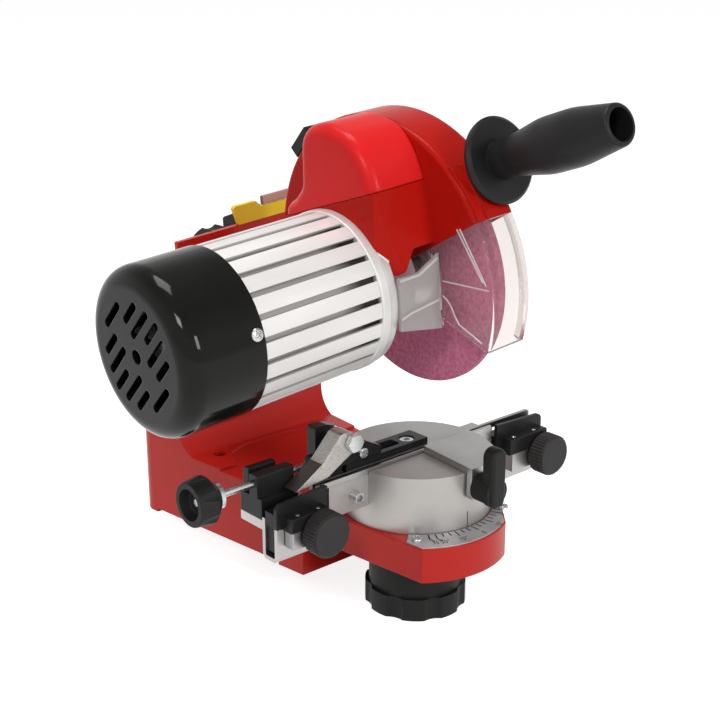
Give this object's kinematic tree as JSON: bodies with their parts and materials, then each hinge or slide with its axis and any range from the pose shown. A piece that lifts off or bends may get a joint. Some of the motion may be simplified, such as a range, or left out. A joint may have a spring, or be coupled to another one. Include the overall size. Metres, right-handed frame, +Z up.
{
  "type": "electric chain sharpener",
  "caption": "Bench grinder for saw chains: sprung tilting motor head with wheel guard over a swivelling chain vise with stop, rests and cam lever.",
  "frame": {"origin": "midway between the two bench bolts, on the underside of the foot", "axes": "+Z up, +X along the motor from fan to wheel, -Y towards the operator"},
  "size_m": [0.3028, 0.3672, 0.3303],
  "materials": {
    "red_enamel": "gloss enamel on a casting",
    "black_plastic": "satin moulded",
    "gloss_black": "gloss moulded",
    "machined_aluminium": "turned, satin",
    "extruded_aluminium": "extruded, brushed",
    "zinc_steel": "zinc plated",
    "ground_steel": "ground",
    "lamination_steel": "varnished laminations",
    "bearing_steel": "polished",
    "silver_plate": "printed plate",
    "yellow_plastic": "moulded",
    "smoke_clear": "smoke clear plastic",
    "clear_plastic": "clear polycarbonate",
    "green_plastic": "moulded",
    "red_plastic": "moulded",
    "abrasive": "bonded aluminium oxide grain",
    "dark_guard": "dark red enamel",
    "blackened_steel": "black oxide, oiled"
  },
  "bodies": {
    "base": {"base_casting": "red_enamel", "angle_scale": "silver_plate", "scale_screws": "zinc_steel"},
    "turret": {"vise_turret": "machined_aluminium", "clamp_stud": "zinc_steel", "rear_jaw": "ground_steel", "stop_bar": "blackened_steel", "stop_bar_screw": "zinc_steel", "beam_screw": "zinc_steel", "cam_pin": "zinc_steel", "adjuster_block": "blackened_steel", "rest_channel_left": "extruded_aluminium", "rest_channel_right": "extruded_aluminium"},
    "lock_wheel": {"lock_handwheel": "black_plastic", "clamp_washer": "zinc_steel"},
    "lever": {"cam_lever": "black_plastic"},
    "clamp": {"front_jaw": "ground_steel", "clamp_arm": "zinc_steel"},
    "carriage": {"stop_carriage": "blackened_steel", "pawl_bolt": "zinc_steel"},
    "adjuster": {"adjuster_screw": "zinc_steel", "adjuster_knob": "black_plastic"},
    "pawl": {"chain_stop_pawl": "ground_steel"},
    "rest_left": {"chain_rest_left": "blackened_steel", "rest_shoe_left": "zinc_steel"},
    "rest_right": {"chain_rest_right": "blackened_steel", "rest_shoe_right": "zinc_steel"},
    "knob_left": {"rest_knob_left": "black_plastic"},
    "knob_right": {"rest_knob_right": "black_plastic"},
    "tilt": {"tilt_bracket": "red_enamel", "tilt_bolt": "zinc_steel", "pivot_pin": "zinc_steel", "switch_frame": "yellow_plastic", "switch_body": "black_plastic", "cable_gland": "black_plastic"},
    "tilt_lock": {"tilt_knob": "black_plastic", "tilt_washer": "zinc_steel"},
    "start": {"start_button": "green_plastic"},
    "stop": {"stop_button": "red_plastic"},
    "flap": {"switch_flap": "smoke_clear"},
    "head": {"head_casting": "red_enamel", "hood_cover": "red_enamel", "guard_side_cover": "dark_guard", "clear_guard": "clear_plastic", "motor_housing": "extruded_aluminium", "front_bell": "machined_aluminium", "rear_bell": "machined_aluminium", "bearings": "bearing_steel", "stator": "lamination_steel", "fan_cap": "gloss_black", "cap_screws": "zinc_steel", "handle_grip": "black_plastic", "handle_stud": "zinc_steel", "dust_outlet": "black_plastic"},
    "spindle": {"motor_shaft": "ground_steel", "rotor": "lamination_steel", "cooling_fan": "black_plastic", "wheel_flanges": "zinc_steel", "grinding_wheel": "abrasive", "spindle_nut": "zinc_steel"}
  },
  "joints": [
    {"name": "vise_swivel", "type": "hinge", "parent": "base", "child": "turret", "pos_m": [0.0075, -0.1415, 0.086], "axis": [0, 0, 1], "range_deg": [-35, 35]},
    {"name": "handwheel_turn", "type": "hinge", "parent": "turret", "child": "lock_wheel", "pos_m": [0.0075, -0.1415, 0], "axis": [0, 0, 1], "range_deg": [0, 180]},
    {"name": "cam_lever", "type": "hinge", "parent": "turret", "child": "lever", "pos_m": [0.0095, -0.19, 0.078], "axis": [0, 1, 0], "range_deg": [0, 90]},
    {"name": "jaw_close", "type": "slide", "parent": "turret", "child": "clamp", "axis": [0, 1, 0], "range_m": [0, 0.0009]},
    {"name": "stop_slide", "type": "slide", "parent": "turret", "child": "carriage", "axis": [1, 0, 0], "range_m": [-0.003, 0.003]},
    {"name": "adjuster_turn", "type": "hinge", "parent": "carriage", "child": "adjuster", "pos_m": [-0.14, -0.1293, 0.0927], "axis": [1, 0, 0], "range_deg": [-1080, 1080]},
    {"name": "pawl_flip", "type": "hinge", "parent": "carriage", "child": "pawl", "pos_m": [-0.0499, -0.1412, 0.1076], "axis": [0, 1, 0], "range_deg": [0, 20]},
    {"name": "rest_left_height", "type": "slide", "parent": "turret", "child": "rest_left", "axis": [0, 0, 1], "range_m": [0, 0.004]},
    {"name": "rest_right_height", "type": "slide", "parent": "turret", "child": "rest_right", "axis": [0, 0, 1], "range_m": [0, 0.004]},
    {"name": "rest_left_knob", "type": "hinge", "parent": "turret", "child": "knob_left", "pos_m": [-0.0855, -0.155, 0.0672], "axis": [0, 1, 0], "range_deg": [0, 180]},
    {"name": "rest_right_knob", "type": "hinge", "parent": "turret", "child": "knob_right", "pos_m": [0.1021, -0.155, 0.0642], "axis": [0, 1, 0], "range_deg": [0, 180]},
    {"name": "head_tilt", "type": "hinge", "parent": "base", "child": "tilt", "pos_m": [0.0122, 0, 0.166], "axis": [0, 1, 0], "range_deg": [-5.45, 14.55]},
    {"name": "tilt_knob_turn", "type": "hinge", "parent": "tilt", "child": "tilt_lock", "pos_m": [0.0122, 0.07, 0.166], "axis": [0, 1, 0], "range_deg": [0, 180]},
    {"name": "flap_fold", "type": "hinge", "parent": "tilt", "child": "flap", "pos_m": [0.0222, 0.0085, 0.21685], "axis": [-0.9968, 0, -0.0793], "range_deg": [0, 88]},
    {"name": "start_press", "type": "slide", "parent": "tilt", "child": "start", "axis": [0.0793, 0, -0.9968], "range_m": [0, 0.0015], "stiffness_N_per_m": 400, "springref_m": -0.001},
    {"name": "stop_press", "type": "slide", "parent": "tilt", "child": "stop", "axis": [0.0793, 0, -0.9968], "range_m": [0, 0.0015], "stiffness_N_per_m": 400, "springref_m": -0.001},
    {"name": "head_lower", "type": "hinge", "parent": "tilt", "child": "head", "pos_m": [0.01157, -0.008, 0.17397], "axis": [0.9968, 0, 0.0793], "range_deg": [0, 15.7], "stiffness_Nm_per_rad": 8, "springref_deg": -68.75},
    {"name": "spindle_spin", "type": "hinge", "parent": "head", "child": "spindle", "pos_m": [0.00932, -0.134, 0.20219], "axis": [0.9968, 0, 0.0793], "continuous": true}
  ],
  "couplings": [
    {"joint": "cam_lever", "follows": "jaw_close", "rad_per_m": 1745.3},
    {"joint": "adjuster_turn", "follows": "stop_slide", "rad_per_m": 6283.2}
  ]
}
